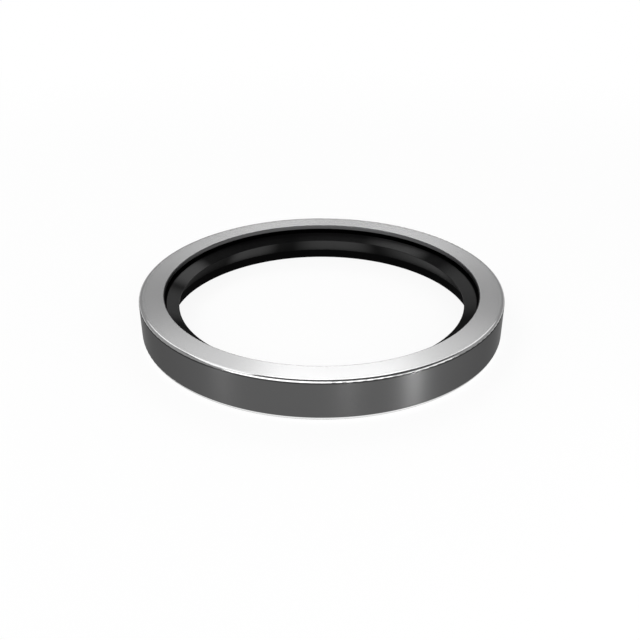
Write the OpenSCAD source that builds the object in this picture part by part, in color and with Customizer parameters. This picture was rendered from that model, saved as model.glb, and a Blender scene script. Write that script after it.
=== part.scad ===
// Radial shaft seal with a pressed outer case, a pressed inner case, a moulded
// rubber lip and a garter spring. Millimetres.
// The axis is Z. The air-side face lies on z = 0 and the oil side faces up.
// Every piece is one section turned round the axis. In a section, x is the
// radius and y is the height above the air-side face.

/* [Seal size] */
// Diameter of the shaft that the lip runs on
shaft_d = 72; // [40:1:120]
// Radial height of the section, from the shaft to the housing bore
section_h = 9; // [8.1:0.1:14]
// Axial width from the air-side face to the oil-side face
seal_w = 10; // [9:0.5:13]

/* [Outer case] */
// Thickness of the pressed steel sheet
case_t = 1.0; // [0.8:0.05:1.2]
// Outside radius of the bend at the air-side face
case_bend_r = 1.4; // [1.3:0.1:2.2]
// Radius that the crimping leaves on the outside of the rim
rim_r = 0.6; // [0.2:0.05:0.7]
// Rise of the flange towards its hole, which makes room for rubber under it
step_h = 0.7; // [0.4:0.05:1]
// Radial length of the sloped part of that rise
step_len = 1.2; // [0.8:0.1:1.4]
// Radial length of the raised part between its hole and the slope
raised_len = 1.2; // [0.8:0.1:1.3]

/* [Inner case] */
// Thickness of the pressed steel sheet
cup_t = 1.2; // [0.8:0.05:1.4]
// Chamfer on its shoulder, which the crimped rim fills flush with its face
cup_chamfer = 0.45; // [0.3:0.05:0.7]
// Gap between the shaft and the edge of its hole
cup_shaft_gap = 2.9; // [2:0.1:4]
// Rounding of the edge of its hole
cup_edge_r = 0.25; // [0.1:0.05:0.4]
// Inside radius of the bend between its wall and its flange
cup_fillet_r = 0.3; // [0.1:0.05:0.6]

/* [Rubber lip] */
// Radial bite of the unstretched lip on the shaft
lip_bite = 0.5; // [0.2:0.05:0.8]
// Depth of the contact edge below the oil-side face
lip_depth = 3.35; // [3.2:0.05:3.8]
// Width of the flat contact edge
lip_land = 0.2; // [0.1:0.05:0.4]
// Angle between the axis and the oil-side flank of the lip
oil_angle = 69; // [64:1:74]
// Radial length of that flank
flank_len = 2.95; // [2.7:0.05:3.2]
// Radial reach of the bead that keeps the spring in, past the flank
bead_len = 1.1; // [0.9:0.05:1.4]
// Fall of the top of that bead, outwards from the flank
bead_drop = 0.25; // [0.1:0.05:0.3]
// Radius of the rounded end of that bead
bead_r = 0.3; // [0.2:0.05:0.35]
// Thickness of the neck that the lip flexes on
neck_t = 1.2; // [0.9:0.05:1.4]
// Radius of the hollow behind the neck
neck_r = 0.7; // [0.5:0.05:0.8]
// Thickness of the shoulder between that hollow and the spring groove
shoulder_t = 0.4; // [0.3:0.05:0.55]
// Gap between the shaft and the bore of the heel
heel_shaft_gap = 2.05; // [1.4:0.05:2.6]
// Height of the bore of the heel, up to where the flank to the lip starts
heel_h = 2.75; // [2.4:0.05:3]
// Thickness of rubber between that bore and the hole of the outer case
heel_t = 1.3; // [0.8:0.05:1.5]
// Chamfer at the lower end of that bore
heel_chamfer = 0.3; // [0.1:0.05:0.6]
// Height of the rubber above the air-side face
heel_lift = 0.2; // [0.05:0.05:0.3]
// Thickness of rubber on the raised part of the outer case's flange
foot_t = 1.1; // [0.8:0.05:1.4]
// Height to which the rubber's outer edge stands on the flat part of it
foot_edge_t = 0.6; // [0.4:0.05:1]

/* [Garter spring] */
// Outside diameter of the coil
coil_d = 2.4; // [2:0.05:2.6]
// Radius of the ring's centre line, outwards from the contact edge
spring_out = 3.35; // [3.2:0.05:3.5]
// Height of the ring's centre line below the contact edge
spring_drop = 0.55; // [0.4:0.05:0.7]

/* [Fits] */
// Gap all round between the inner case and the outer case
case_gap = 0.02; // [0.01:0.01:0.05]
// Gap between the spring and its groove
groove_gap = 0.02; // [0.01:0.01:0.1]
// Gap between the rubber on the floor and the wall of the inner case
foot_gap = 1.2; // [0.6:0.1:1.6]
// Gap between the rubber under the flange and the start of the slope
mould_land = 0.15; // [0.05:0.05:0.4]

/* [Hidden] */
$fn = 96;

shaft_r = shaft_d / 2;
seal_r = shaft_r + section_h;

// Inner case: its wall hangs inside the outer case and stands on the flange.
wall_in_r = seal_r - case_t;
cup_r = wall_in_r - case_gap;
cup_in_r = cup_r - cup_t;
cup_hole_r = shaft_r + cup_shaft_gap;
floor_bend_r = case_bend_r - case_t;
cup_foot_chamfer = floor_bend_r + case_gap;

// Outer case: the flange runs flat from the wall, then rises to its hole. The
// rim is turned in over the chamfer of the inner case, case_gap clear of it.
heel_r = shaft_r + heel_shaft_gap;
case_hole_r = heel_r + heel_t;
raised_r = case_hole_r + raised_len;
flat_r = raised_r + step_len;
step_parts = 12;
rim_tip_r = cup_r - cup_chamfer + case_gap * sqrt(2);
rim_tip_h = wall_in_r - rim_tip_r;

// Lip: the flank on the air side runs from the heel to the contact edge.
lip_r = shaft_r - lip_bite;
lip_z = seal_w - lip_depth;
lip_low = [lip_r, lip_z - lip_land / 2];
lip_high = [lip_r, lip_z + lip_land / 2];
heel_top = [heel_r, heel_h];
air_len = norm(heel_top - lip_low);
air_dir = (heel_top - lip_low) / air_len;
air_normal = [-air_dir[1], air_dir[0]];
flank_end = lip_high + flank_len * [1, 1 / tan(oil_angle)];

// Spring groove, bead over it and shoulder under it.
ring_c = [lip_r + spring_out, lip_z - spring_drop];
groove_r = coil_d / 2 + groove_gap;
bead_c = flank_end + [bead_len - bead_r, -bead_drop - bead_r];

// The hollow behind the neck keeps neck_t off the flank and shoulder_t off
// the groove, which places its centre.
ring_off = (ring_c - lip_low) * air_normal;
ring_along = (ring_c - lip_low) * air_dir;
neck_off = neck_t + neck_r;
neck_reach = groove_r + shoulder_t + neck_r;
neck_along = ring_along + sqrt(pow(neck_reach, 2) - pow(neck_off - ring_off, 2));
neck_c = lip_low + neck_along * air_dir + neck_off * air_normal;

// Rubber on the floor and under the raised flange.
foot_r = cup_in_r - foot_gap;
foot_top_z = step_h + case_t + foot_t;
under_r = raised_r - mould_land;

// Height of the flange's lower face at radius r: a half wave between the
// raised part and the flat part.
function flange_z(r) =
    r <= raised_r ? step_h
    : r >= flat_r ? 0
    : step_h * (1 + cos(180 * (r - raised_r) / step_len)) / 2;

// Radii at which the slope is drawn, from its top to its foot, and those of
// them that the rubber on it covers.
step_radii = [for (i = [0:step_parts]) raised_r + step_len * i / step_parts];
foot_radii = concat([case_hole_r], [for (r = step_radii) if (r < foot_r) r], [foot_r]);

// Cuts an outside corner that lies at the origin, with the material at the
// lower left, down to radius r.
module corner_cut(r) {
    difference() {
        translate([-r, -r])
            square(2 * r);
        translate([-r, -r])
            circle(r);
    }
}

// Fills an inside corner that lies at the origin, open to the upper left,
// with a fillet of radius r.
module inside_fillet(r) {
    difference() {
        translate([-r, 0])
            square(r);
        translate([-r, r])
            circle(r);
    }
}

// The flange of the outer case, from the hole to radius r_end.
module flange_section(r_end) {
    radii = concat([case_hole_r], step_radii, [r_end]);
    low = [for (r = radii) [r, flange_z(r)]];
    high = [for (i = [len(radii) - 1:-1:0]) [radii[i], flange_z(radii[i]) + case_t]];
    polygon(concat(low, high));
}

module outer_case_section() {
    difference() {
        union() {
            translate([wall_in_r, 0])
                square([case_t, seal_w]);
            flange_section(seal_r - case_bend_r);
            translate([seal_r - case_bend_r, 0])
                square([case_bend_r, case_t]);
            translate([wall_in_r, case_t])
                inside_fillet(floor_bend_r);
            // rim turned in over the shoulder of the inner case
            polygon([
                [wall_in_r, seal_w],
                [rim_tip_r, seal_w],
                [wall_in_r, seal_w - rim_tip_h],
            ]);
        }
        translate([seal_r, seal_w])
            corner_cut(rim_r);
        translate([seal_r, 0])
            mirror([0, 1])
                corner_cut(case_bend_r);
    }
}

module inner_case_section() {
    difference() {
        union() {
            translate([cup_in_r, case_t])
                square([cup_t, seal_w - case_t]);
            translate([cup_hole_r, seal_w - cup_t])
                square([cup_r - cup_hole_r, cup_t]);
            translate([cup_in_r, seal_w - cup_t])
                mirror([0, 1])
                    inside_fillet(cup_fillet_r);
        }
        // shoulder, under the rim of the outer case
        translate([cup_r, seal_w])
            rotate(45)
                square(cup_chamfer * sqrt(2), center = true);
        // lower corner, clear of the fillet in the outer case
        translate([cup_r, case_t])
            rotate(45)
                square(cup_foot_chamfer * sqrt(2), center = true);
        translate([cup_hole_r, seal_w])
            mirror([1, 0])
                corner_cut(cup_edge_r);
        translate([cup_hole_r, seal_w - cup_t])
            mirror([1, 0])
                mirror([0, 1])
                    corner_cut(cup_edge_r);
    }
}

module sealing_lip_section() {
    difference() {
        union() {
            // heel, neck and lip
            polygon([
                [heel_r + heel_chamfer, heel_lift],
                [under_r, heel_lift],
                [under_r, foot_top_z],
                [neck_c[0], neck_c[1] - neck_r],
                [neck_c[0], ring_c[1]],
                [bead_c[0], ring_c[1]],
                bead_c + [0, bead_r],
                flank_end,
                lip_high,
                lip_low,
                heel_top,
                [heel_r, heel_lift + heel_chamfer],
            ]);
            translate(bead_c)
                circle(bead_r);
            // foot on the flange, drawn from the middle of the sheet up
            polygon(concat(
                [for (r = foot_radii) [r, flange_z(r) + case_t / 2]],
                [[foot_r, case_t + foot_edge_t], [under_r, foot_top_z], [case_hole_r, foot_top_z]]
            ));
        }
        flange_section(seal_r - case_bend_r);
        translate(ring_c)
            circle(groove_r);
        translate(neck_c)
            circle(neck_r);
    }
}

module outer_case() {
    color([0.33, 0.34, 0.35])
        rotate_extrude()
            outer_case_section();
}

module inner_case() {
    color([0.72, 0.73, 0.74])
        rotate_extrude()
            inner_case_section();
}

module sealing_lip() {
    color([0.06, 0.06, 0.06])
        rotate_extrude()
            sealing_lip_section();
}

module garter_spring() {
    color([0.6, 0.6, 0.62])
        rotate_extrude()
            translate(ring_c)
                circle(coil_d / 2);
}

outer_case();
inner_case();
sealing_lip();
garter_spring();
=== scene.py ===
import math

import bpy
import numpy as np
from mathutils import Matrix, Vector


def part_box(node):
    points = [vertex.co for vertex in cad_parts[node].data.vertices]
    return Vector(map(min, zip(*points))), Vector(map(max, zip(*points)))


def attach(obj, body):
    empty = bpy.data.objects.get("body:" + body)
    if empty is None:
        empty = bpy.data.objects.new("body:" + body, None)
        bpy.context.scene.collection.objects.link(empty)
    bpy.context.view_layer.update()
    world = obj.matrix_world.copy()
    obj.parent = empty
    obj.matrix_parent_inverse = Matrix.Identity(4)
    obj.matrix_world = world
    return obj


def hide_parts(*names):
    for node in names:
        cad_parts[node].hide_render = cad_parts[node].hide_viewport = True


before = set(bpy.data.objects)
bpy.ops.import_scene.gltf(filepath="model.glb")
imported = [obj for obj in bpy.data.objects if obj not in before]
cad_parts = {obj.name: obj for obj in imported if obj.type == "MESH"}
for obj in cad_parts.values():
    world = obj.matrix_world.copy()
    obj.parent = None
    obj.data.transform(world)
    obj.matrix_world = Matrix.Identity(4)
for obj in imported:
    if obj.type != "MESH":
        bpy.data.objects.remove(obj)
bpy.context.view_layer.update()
print("frame loaded:", ", ".join(sorted(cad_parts)))

# Sizes are in metres. The seal lies on its air-side face, with its axis along Z
# and the oil side up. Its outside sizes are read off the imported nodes.
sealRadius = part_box("outer_case")[1].x
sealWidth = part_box("outer_case")[1].z
ringLow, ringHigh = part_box("garter_spring")


class Value:
    # What leaves a node's socket. An expression on values adds its Math nodes.
    def __init__(self, paint, socket):
        self.paint = paint
        self.socket = socket

    def join(self, operation, first, second):
        return self.paint.value("ShaderNodeMath", {"operation": operation}, {0: first, 1: second})

    def __add__(self, other):
        return self.join("ADD", self, other)

    def __radd__(self, other):
        return self.join("ADD", other, self)

    def __sub__(self, other):
        return self.join("SUBTRACT", self, other)

    def __rsub__(self, other):
        return self.join("SUBTRACT", other, self)

    def __mul__(self, other):
        return self.join("MULTIPLY", self, other)

    def __rmul__(self, other):
        return self.join("MULTIPLY", other, self)

    def __truediv__(self, other):
        return self.join("DIVIDE", self, other)

    def __rtruediv__(self, other):
        return self.join("DIVIDE", other, self)

    def __pow__(self, other):
        return self.join("POWER", self, other)

    def __rpow__(self, other):
        return self.join("POWER", other, self)

    def above(self, limit):
        # 1 above the limit, and 0 below it.
        return self.join("GREATER_THAN", self, limit)


class Paint:
    # One material or world: its node tree, and the methods that add nodes to it.
    def __init__(self, owner):
        owner.use_nodes = True
        self.owner = owner
        self.tree = owner.node_tree
        self.tree.nodes.clear()

    def node(self, kind, settings=None, sockets=None):
        made = self.tree.nodes.new(kind)
        for name, setting in (settings or {}).items():
            if name == "stops":
                self.setStops(made.color_ramp, setting)
            else:
                setattr(made, name, setting)
        for name, given in (sockets or {}).items():
            socket = made.inputs[name]
            if isinstance(given, Value):
                self.tree.links.new(given.socket, socket)
            else:
                socket.default_value = given
        return made

    def setStops(self, ramp, stops):
        while len(ramp.elements) < len(stops):
            ramp.elements.new(1.0)
        for element, (place, level) in zip(ramp.elements, stops):
            element.position = place
            element.color = (level, level, level, 1.0)

    def value(self, kind, settings=None, sockets=None, out=0):
        return Value(self, self.node(kind, settings, sockets).outputs[out])

    def locate(self):
        # Object coordinates, whole and as three numbers, and the radius from the axis.
        self.here = self.value("ShaderNodeTexCoord", {}, {}, "Object")
        parts = self.node("ShaderNodeSeparateXYZ", {}, {0: self.here})
        self.x, self.y, self.z = (Value(self, parts.outputs[i]) for i in range(3))
        self.radius = (self.x * self.x + self.y * self.y) ** 0.5

    def step(self, number, low, high):
        # 0 below low, 1 above high, and a smooth ramp between.
        return self.value(
            "ShaderNodeMapRange",
            {"interpolation_type": "SMOOTHSTEP"},
            {"Value": number, "From Min": low, "From Max": high},
        )

    def past(self, number, limit, fade):
        # 0 below the limit and 1 above it, with a ramp that reaches fade to each side.
        return self.step(number, limit - fade, limit + fade)

    def noise(self, vector, scale, detail=3.0, roughness=0.55):
        return self.value(
            "ShaderNodeTexNoise",
            {},
            {"Vector": vector, "Scale": scale, "Detail": detail, "Roughness": roughness},
        )

    def vector(self, x, y, z):
        return self.value("ShaderNodeCombineXYZ", {}, {0: x, 1: y, 2: z})

    def normal(self):
        return self.value("ShaderNodeNewGeometry", {}, {}, "Normal")

    def mix(self, amount, first, second, blend="MIX"):
        # A colour between first and second: inputs 6 and 7 of the node, output 2.
        return self.value(
            "ShaderNodeMix",
            {"data_type": "RGBA", "blend_type": blend},
            {"Factor": amount, 6: first, 7: second},
            2,
        )

    def mixVectors(self, amount, first, second):
        # The same for vectors: inputs 4 and 5 of the node, output 1.
        return self.value(
            "ShaderNodeMix",
            {"data_type": "VECTOR"},
            {"Factor": amount, 4: first, 5: second},
            1,
        )

    def shade(self, colour, level):
        # A colour multiplied by a number.
        grey = self.value("ShaderNodeCombineColor", {}, {0: level, 1: level, 2: level})
        return self.mix(1.0, colour, grey, "MULTIPLY")

    def bump(self, height, depth, normal):
        # depth is the height in metres that a pattern of 1 stands for.
        return self.value("ShaderNodeBump", {}, {"Height": height, "Distance": depth, "Normal": normal})

    def surface(self, sockets):
        shader = self.value("ShaderNodeBsdfPrincipled", {}, sockets)
        self.node("ShaderNodeOutputMaterial", {}, {0: shader})
        return self.owner


def newPaint(name):
    paint = Paint(bpy.data.materials.new(name))
    paint.locate()
    return paint


def swing(noise, amount):
    # A noise of 0 to 1 as a number from -amount to amount.
    return (noise - 0.5) * (2 * amount)


# Marks that a tool leaves on what turns: how far the radius and the height move
# their pattern on, and the detail and the roughness of its noise
toolMarks = {"perRadius": 0.83, "perHeight": 1.17, "detail": 4.0, "roughness": 0.6}


def turnedLines(paint, arc, pitch):
    # Lines round the axis: noise at a point whose first two numbers are the direction
    # from the axis times arc. Its third is the radius and the height, each times its
    # share, added and divided by pitch.
    across = paint.radius * toolMarks["perRadius"] + paint.z * toolMarks["perHeight"]
    spot = paint.vector(paint.x / paint.radius * arc, paint.y / paint.radius * arc, across / pitch)
    return paint.noise(spot, 1.0, toolMarks["detail"], toolMarks["roughness"])


def turnedNormal(paint, rounds):
    # On a rounded edge of a turned piece the normal points away from the centre
    # of the edge's circle. rounds gives that centre's radius and height, and the
    # side that the edge lies on: 1 outwards or upwards, -1 inwards or downwards.
    normal = paint.normal()
    for centreRadius, centreHeight, outwards, upwards in rounds:
        across = paint.radius - centreRadius
        rise = paint.z - centreHeight
        onEdge = (across * outwards).above(0.0) * (rise * upwards).above(0.0)
        away = paint.vector(paint.x / paint.radius * across, paint.y / paint.radius * across, rise)
        unit = paint.value("ShaderNodeVectorMath", {"operation": "NORMALIZE"}, {0: away})
        turned = paint.value(
            "ShaderNodeVectorTransform",
            {"vector_type": "NORMAL", "convert_from": "OBJECT", "convert_to": "WORLD"},
            {"Vector": unit},
        )
        normal = paint.mixVectors(onEdge, normal, turned)
    return normal


# Steel sheet: what both cases share. They have to look alike where they meet.
sheetSteel = {
    "colour": (0.595, 0.595, 0.597, 1.0),
    "roughness": 0.27,
    "anisotropy": 0.78,
    "anisotropyTurn": 0.25,
    "grazing": (0.5, 0.5, 0.5, 1.0),
    "lineArc": 2.6,
    "linePitch": 0.00026,
    "lineDepth": 0.000000018,
    "lineShade": 0.01,
    "lineRoughness": 0.006,
    "cloudScale": 50.0,
    "cloudDetail": 2.0,
    "cloudShade": 0.02,
}


def steelSheet(name, finish, shadeAndRoughness, rounds):
    # The fourth argument gives the base colour, with painted shade on both cases and a
    # painted highlight on the outer one, and what it adds to the roughness. Turned lines
    # vary both a little, and a slow cloud varies the colour.
    paint = newPaint(name)
    lines = turnedLines(paint, finish["lineArc"], finish["linePitch"])
    cloud = paint.noise(paint.here, finish["cloudScale"], finish["cloudDetail"])
    colour, rougher = shadeAndRoughness(paint)
    level = 1 + swing(lines, finish["lineShade"]) + swing(cloud, finish["cloudShade"])
    return paint.surface({
        "Base Color": paint.shade(colour, level),
        "Metallic": 1.0,
        "Roughness": swing(lines, finish["lineRoughness"]) + finish["roughness"] + rougher,
        "Specular Tint": finish["grazing"],
        "Anisotropic": finish["anisotropy"],
        "Anisotropic Rotation": finish["anisotropyTurn"],
        "Normal": paint.bump(lines, finish["lineDepth"], turnedNormal(paint, rounds)),
    })


# Inner case: painted shade makes the edge of its hole and its inside darker than its flange
innerShadeAndSizes = {
    # edge and inside are painted shade colours.
    "edge": (0.11, 0.11, 0.112, 1.0),
    "inside": (0.012, 0.012, 0.012, 1.0),
    "holeRadius": 0.0389,
    "flangeThickness": 0.0012,
    "edgeRounding": 0.00025,
    "edgeFade": 0.00004,
    "insideFade": 0.0001,
}


def innerRounds(finish):
    # The edge of the hole, above and below.
    rounding = finish["edgeRounding"]
    centre = finish["holeRadius"] + rounding
    return [
        (centre, sealWidth - rounding, -1, 1),
        (centre, sealWidth - finish["flangeThickness"] + rounding, -1, -1),
    ]


def innerCaseShade(paint):
    # edge is 1 on the rounded edge round the hole, inside is 1 below the flange. Both get painted shade
    # there.
    outer = innerShadeAndSizes["holeRadius"] + innerShadeAndSizes["edgeRounding"]
    edge = 1 - paint.step(paint.radius, outer - innerShadeAndSizes["edgeFade"], outer)
    under = sealWidth - innerShadeAndSizes["flangeThickness"]
    inside = 1 - paint.step(paint.z, under, under + innerShadeAndSizes["insideFade"])
    colour = paint.mix(edge, sheetSteel["colour"], innerShadeAndSizes["edge"])
    return paint.mix(inside, colour, innerShadeAndSizes["inside"]), 0.0


# Outer case: painted shade colours the straight wall as a dark band, a little rougher,
# with a darker painted line at its top, and a painted highlight colours the bend below
# it near white. The rim is smoother, burnished by the crimping tool, and is shaded a
# little softer than its form, which is rounded by 0.6 mm.
wallShadeAndFinish = {
    # wall and line are painted shade colours, bend is a painted highlight colour.
    "wall": (0.104, 0.104, 0.1045, 1.0),
    "line": (0.045, 0.045, 0.045, 1.0),
    "bend": (0.88, 0.88, 0.88, 1.0),
    "low": 0.00112,
    "lineFrom": 0.00926,
    "high": 0.00961,
    "fade": 0.00006,
    "depth": 0.0005,
    "depthFade": 0.0001,
    "bendFade": 0.0005,
    "rougher": 0.1,
    "burnish": 0.14,
    "rimRounding": 0.00084,
    "bendRounding": 0.0014,
}


def outerRounds(finish):
    # The rim at the top and the bend at the bottom.
    rim = finish["rimRounding"]
    bend = finish["bendRounding"]
    return [
        (sealRadius - rim, sealWidth - rim, 1, 1),
        (sealRadius - bend, bend, 1, -1),
    ]


def outerCaseShadeAndRoughness(paint):
    # below is 1 under low on the bend, where the painted highlight goes. wall is 1 from
    # there up to high, as far in as depth, where painted shade goes, and line is 1 on its top. rim is 1
    # on the rounded edge.
    fade = wallShadeAndFinish["fade"]
    bend = sealRadius - wallShadeAndFinish["bendRounding"]
    onBend = paint.step(paint.radius, bend, bend + wallShadeAndFinish["bendFade"])
    below = (1 - paint.past(paint.z, wallShadeAndFinish["low"], fade)) * onBend
    outside = paint.past(paint.radius, sealRadius - wallShadeAndFinish["depth"], wallShadeAndFinish["depthFade"])
    wall = (1 - below) * (1 - paint.past(paint.z, wallShadeAndFinish["high"], fade)) * outside
    line = paint.past(paint.z, wallShadeAndFinish["lineFrom"], fade)
    # Painted shade: the wall and the line at its top are coloured dark.
    paintedWallShade = paint.mix(line, wallShadeAndFinish["wall"], wallShadeAndFinish["line"])
    # Painted highlight: the bend is coloured near white, like the bright floor it mirrors.
    colour = paint.mix(below, sheetSteel["colour"], wallShadeAndFinish["bend"])
    rounding = wallShadeAndFinish["rimRounding"]
    rim = paint.past(paint.radius, sealRadius - rounding, fade)
    rim = rim * paint.past(paint.z, sealWidth - rounding, fade)
    rougher = wall * wallShadeAndFinish["rougher"] - rim * (1 - wall) * wallShadeAndFinish["burnish"]
    return paint.mix(wall, colour, paintedWallShade), rougher


# Lip: black moulded rubber with a fine grain, glossier on its two sealing flanks.
# Each flank has polished places: angle from +X, half width in degrees, added gloss.
rubberFinish = {
    "colour": (0.0024, 0.0024, 0.0025, 1.0),
    "roughness": 0.6,
    "specular": 0.01,
    "flankLow": 0.0027,
    "flankInside": 0.03865,
    "edgeHeight": 0.00665,
    "fade": 0.0001,
    "insideFade": 0.0002,
    "oilGloss": 0.06,
    "oilPolish": [(54, 18, 0.62), (4, 26, 0.34), (84, 20, 0.14), (161, 14, 0.52), (189, 17, 0.42)],
    "airGloss": 0.06,
    "airPolish": [(40, 24, 0.26), (84, 20, 0.5), (123, 14, 0.42)],
    "glossRoughness": 0.35,
    "patchScale": 120.0,
    "patchShade": 0.3,
    "patchGloss": 0.03,
    "patchRoughness": 0.12,
    "lineArc": 1.5,
    "linePitch": 0.0004,
    "lineRoughness": 0.06,
    "grainScale": 2600.0,
    "grainShare": 0.6,
    "grainDepth": 0.000003,
}


def polish(paint, gloss, places):
    # Each place adds its gloss where the bearing is less than halfWidth from angle.
    for angle, halfWidth, more in places:
        bearing = math.radians(angle)
        reach = math.radians(halfWidth)
        facing = (paint.x * math.cos(bearing) + paint.y * math.sin(bearing)) / paint.radius
        gloss = gloss + paint.step(facing, math.cos(reach), 1.0) * more
    return gloss


def lipRubber(finish):
    # Fine grain and turned lines for the bump, and slow patches that vary the
    # colour and the gloss. The coat lies on the two flanks, above flankLow and
    # inside the radius flankInside, and edgeHeight parts the two.
    paint = newPaint("lipRubber")
    fade = finish["fade"]
    grain = paint.noise(paint.here, finish["grainScale"])
    patches = paint.noise(paint.here, finish["patchScale"])
    lines = turnedLines(paint, finish["lineArc"], finish["linePitch"])
    above = paint.past(paint.z, finish["flankLow"], fade)
    inside = 1 - paint.past(paint.radius, finish["flankInside"], finish["insideFade"])
    oilSide = paint.past(paint.z, finish["edgeHeight"], fade)
    oilGloss = polish(paint, finish["oilGloss"], finish["oilPolish"])
    airGloss = polish(paint, finish["airGloss"], finish["airPolish"])
    gloss = airGloss + oilSide * (oilGloss - airGloss) + swing(patches, finish["patchGloss"])
    rougher = patches * finish["patchRoughness"] + lines * finish["lineRoughness"]
    height = grain * finish["grainShare"] + lines
    return paint.surface({
        "Base Color": paint.shade(finish["colour"], 1 + swing(patches, finish["patchShade"])),
        "Roughness": finish["roughness"] + rougher,
        "Specular IOR Level": finish["specular"],
        "Coat Weight": above * inside * gloss,
        "Coat Roughness": finish["glossRoughness"],
        "Normal": paint.bump(height, finish["grainDepth"], paint.normal()),
    })


springFinish = {
    "colour": (0.5, 0.49, 0.47, 1.0),
    "roughness": 0.28,
    "driftScale": 260.0,
    "driftShade": 0.2,
    "driftRoughness": 0.15,
}


def springSteel(finish):
    # Drawn wire: colour and gloss wander slowly round the ring.
    paint = newPaint("springSteel")
    drift = paint.noise(paint.here, finish["driftScale"])
    return paint.surface({
        "Base Color": paint.shade(finish["colour"], 1 + swing(drift, finish["driftShade"])),
        "Metallic": 1.0,
        "Roughness": finish["roughness"] + drift * finish["driftRoughness"],
    })


def closedGrid(name, points, body, slot, material, *nodes):
    # points is a grid, (along, across, 3), closed both ways. Each of its points
    # makes one quad with the next ones along and across.
    along, across = points.shape[:2]
    i = np.arange(along)[:, None]
    j = np.arange(across)[None, :]
    iNext = (i + 1) % along
    jNext = (j + 1) % across
    corners = [i * across + j, iNext * across + j, iNext * across + jNext, i * across + jNext]
    quads = np.stack(corners, axis=-1).reshape(-1, 4)
    mesh = bpy.data.meshes.new(name)
    mesh.vertices.add(along * across)
    mesh.vertices.foreach_set("co", points.reshape(-1).astype(np.float32))
    mesh.loops.add(quads.size)
    mesh.loops.foreach_set("vertex_index", quads.reshape(-1).astype(np.int32))
    mesh.polygons.add(len(quads))
    mesh.polygons.foreach_set("loop_start", np.arange(0, quads.size, 4, dtype=np.int32))
    mesh.polygons.foreach_set("use_smooth", np.ones(len(quads), dtype=bool))
    mesh.update(calc_edges=True)
    mesh.validate()
    mesh.materials.append(material)
    piece = bpy.data.objects.new(name, mesh)
    bpy.context.scene.collection.objects.link(piece)
    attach(piece, body)
    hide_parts(*nodes)


# Garter spring: closed coil of drawn wire, joined into a ring by a tapered end
spring = {
    "wire": 0.0004,
    "stepsPerTurn": 14,
    "wireSides": 8,
    "jointSpan": 0.05,
    "jointDip": 0.08,
}


def garterCoil(size, material):
    # A helix round the ring's centre line: coil angle = turns x ring angle. The
    # wire is a circle carried along it, square to the path. Near the joint the
    # coil narrows by jointDip x exp(-(ring angle / jointSpan) squared).
    coilHalf = (ringHigh.z - ringLow.z) / 2
    ringRadius = ringHigh.x - coilHalf
    coilRadius = coilHalf - size["wire"] / 2
    height = (ringHigh.z + ringLow.z) / 2
    turns = math.floor(2 * math.pi * (ringRadius - coilRadius) / size["wire"])
    count = turns * size["stepsPerTurn"]
    ring = np.arange(count) / count * 2 * math.pi
    coil = ring * turns
    fromJoint = np.minimum(ring, 2 * math.pi - ring) / size["jointSpan"]
    reach = coilRadius * (1 - size["jointDip"] * np.exp(-fromJoint**2))
    outward = np.stack([np.cos(ring), np.sin(ring), 0 * ring], axis=-1)
    upward = np.array([0.0, 0.0, 1.0])
    radial = np.cos(coil)[:, None] * outward + np.sin(coil)[:, None] * upward
    path = ringRadius * outward + height * upward + reach[:, None] * radial
    ahead = np.roll(path, -1, axis=0) - np.roll(path, 1, axis=0)
    ahead /= np.linalg.norm(ahead, axis=1)[:, None]
    side = np.cross(ahead, radial)
    side /= np.linalg.norm(side, axis=1)[:, None]
    across = np.cross(side, ahead)
    turn = (np.arange(size["wireSides"]) / size["wireSides"] * 2 * math.pi)[None, :, None]
    circle = np.cos(turn) * across[:, None, :] + np.sin(turn) * side[:, None, :]
    points = path[:, None, :] + size["wire"] / 2 * circle
    closedGrid("garterCoil", points, "root", "spring_steel", material, "garter_spring")
    print(f"garter spring: {turns} turns")


materials = {
    "outer_case": steelSheet("outerCaseSteel", sheetSteel, outerCaseShadeAndRoughness, outerRounds(wallShadeAndFinish)),
    "inner_case": steelSheet("innerCaseSteel", sheetSteel, innerCaseShade, innerRounds(innerShadeAndSizes)),
    "sealing_lip": lipRubber(rubberFinish),
}
for node, material in materials.items():
    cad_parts[node].data.materials.clear()
    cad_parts[node].data.materials.append(material)
print("cases and lip painted")
garterCoil(spring, springSteel(springFinish))


# Floor: pale, and whiter from the radius whiteFrom to whiteTo
floorFinish = {
    "across": 6.0,
    "colour": (0.93, 0.93, 0.93, 1.0),
    "white": 0.9,
    "whiteFrom": 0.12,
    "whiteTo": 0.35,
}


def paleFloor(finish):
    # A diffuse floor that keeps the shadow. Where the camera, a mirror or glass
    # sees it, white light covers it by the share white, and wholly past whiteTo.
    half = finish["across"] / 2
    corners = [(-half, -half, 0), (half, -half, 0), (half, half, 0), (-half, half, 0)]
    mesh = bpy.data.meshes.new("floor")
    mesh.from_pydata(corners, [], [(0, 1, 2, 3)])
    floor = bpy.data.objects.new("floor", mesh)
    bpy.context.scene.collection.objects.link(floor)
    paint = newPaint("paleFloor")
    rays = paint.node("ShaderNodeLightPath")
    byCamera = Value(paint, rays.outputs["Is Camera Ray"])
    byMirror = Value(paint, rays.outputs["Is Glossy Ray"])
    byGlass = Value(paint, rays.outputs["Is Transmission Ray"])
    matt = paint.value("ShaderNodeBsdfDiffuse", {}, {"Color": finish["colour"]})
    white = paint.value("ShaderNodeEmission", {}, {"Color": (1, 1, 1, 1), "Strength": 1.0})
    far = paint.step(paint.radius, finish["whiteFrom"], finish["whiteTo"])
    cover = finish["white"] + far * (1 - finish["white"])
    amount = (byCamera + byMirror + byGlass) * cover
    shown = paint.value("ShaderNodeMixShader", {}, {0: amount, 1: matt, 2: white})
    paint.node("ShaderNodeOutputMaterial", {}, {0: shown})
    mesh.materials.append(paint.owner)


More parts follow.
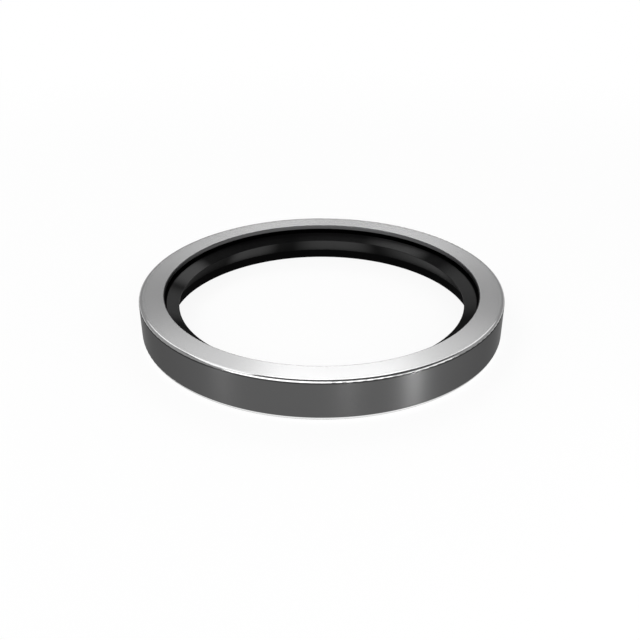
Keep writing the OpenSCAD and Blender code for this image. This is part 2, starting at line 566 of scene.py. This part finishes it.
# Sky: brightness by height, where 0.5 is the horizon and 1 is straight up
skyStops = [(0.5, 1.0), (0.56, 1.0), (0.578, 0.45), (0.82, 0.43), (0.88, 0.12), (1.0, 0.12)]


def studioWorld(stops):
    # The height is half the upward part of the direction, plus a half.
    world = bpy.data.worlds.new("studioWorld")
    bpy.context.scene.world = world
    paint = Paint(world)
    way = paint.value("ShaderNodeTexCoord", {}, {}, "Generated")
    parts = paint.node("ShaderNodeSeparateXYZ", {}, {0: way})
    height = Value(paint, parts.outputs[2]) * 0.5 + 0.5
    sky = paint.value("ShaderNodeValToRGB", {"stops": stops}, {0: height})
    light = paint.value("ShaderNodeBackground", {}, {0: sky, 1: 1.0})
    paint.node("ShaderNodeOutputWorld", {}, {0: light})


# Lamps: azimuth from +Y towards +X and elevation in degrees, distance, width,
# height and brightness of the face. The cards are small upright lamps close to
# the seal, above the floor and lower than its top. They make the wall's stripes.
lamps = {
    "backLamp": (2.6, 44.3, 0.7, 0.217, 0.253, 1.44),
    "wideLamp": (0, 44.2, 0.7, 0.945, 0.229, 0.97),
    "lowLeftLamp": (-4, 25.2, 0.7, 0.09, 0.249, 0.16),
    "lowRightLamp": (9.2, 25.2, 0.7, 0.09, 0.249, 0.16),
    "highLamp": (-69, 60, 0.7, 0.6, 0.24, 1.25),
    "frontLamp": (190, 41, 0.7, 1.2, 0.5, 1.7),
    "sideLamp": (118, 28, 0.6, 0.42, 0.3, 0.9),
    "rightCard": (136, -2.5, 0.146, 0.0103, 0.0065, 215.0),
    "thinCard": (168, -2.2, 0.145, 0.0054, 0.0075, 58.0),
    "leftCard": (-131.8, -2.2, 0.146, 0.0187, 0.0075, 22.0),
}


def softLamp(name, azimuth, elevation, distance, width, height, level):
    # An area lamp turned to the middle of the seal's top. Its power is four times
    # its area times the brightness of its face.
    lamp = bpy.data.lights.new(name, "AREA")
    lamp.shape = "RECTANGLE"
    lamp.size = width
    lamp.size_y = height
    lamp.energy = level * 4 * width * height
    bearing = math.radians(azimuth)
    rise = math.radians(elevation)
    flat = math.cos(rise)
    way = Vector((math.sin(bearing) * flat, math.cos(bearing) * flat, math.sin(rise)))
    holder = bpy.data.objects.new(name, lamp)
    holder.location = way * distance + Vector((0, 0, sealWidth))
    holder.rotation_euler = way.to_track_quat("Z", "Y").to_euler()
    bpy.context.scene.collection.objects.link(holder)


# Camera: fitted to the ring's edges in the photograph, which is 640 pixels square.
# The middle of the seal's top lies ringAcross pixels to the right of the middle of
# the frame, and ringAbove pixels above it.
view = {
    "focalPixels": 803.0,
    "framePixels": 640,
    "sensorWidth": 36.0,
    "clip": (0.01, 20.0),
    "distance": 0.20136,
    "elevation": 25.989,
    "ringAcross": 1.65,
    "ringAbove": 36.32,
}


def photoCamera(size):
    # The camera stands ringAcross to the left and looks at the middle of the top from
    # distance and elevation. It then dips by the angle that ringAbove stands for.
    camera = bpy.data.cameras.new("camera")
    camera.sensor_width = size["sensorWidth"]
    camera.lens = size["focalPixels"] / size["framePixels"] * size["sensorWidth"]
    camera.clip_start, camera.clip_end = size["clip"]
    elevation = math.radians(size["elevation"])
    sideways = -size["ringAcross"] / size["focalPixels"] * size["distance"]
    away = size["distance"] * math.cos(elevation)
    up = sealWidth + size["distance"] * math.sin(elevation)
    dip = elevation + math.atan(size["ringAbove"] / size["focalPixels"])
    holder = bpy.data.objects.new("camera", camera)
    holder.location = (sideways, -away, up)
    holder.rotation_euler = (math.pi / 2 - dip, 0, 0)
    bpy.context.scene.collection.objects.link(holder)
    bpy.context.scene.camera = holder


paleFloor(floorFinish)
studioWorld(skyStops)
for name, values in lamps.items():
    softLamp(name, *values)
photoCamera(view)
bpy.context.scene.view_settings.view_transform = "Standard"
print("studio ready")
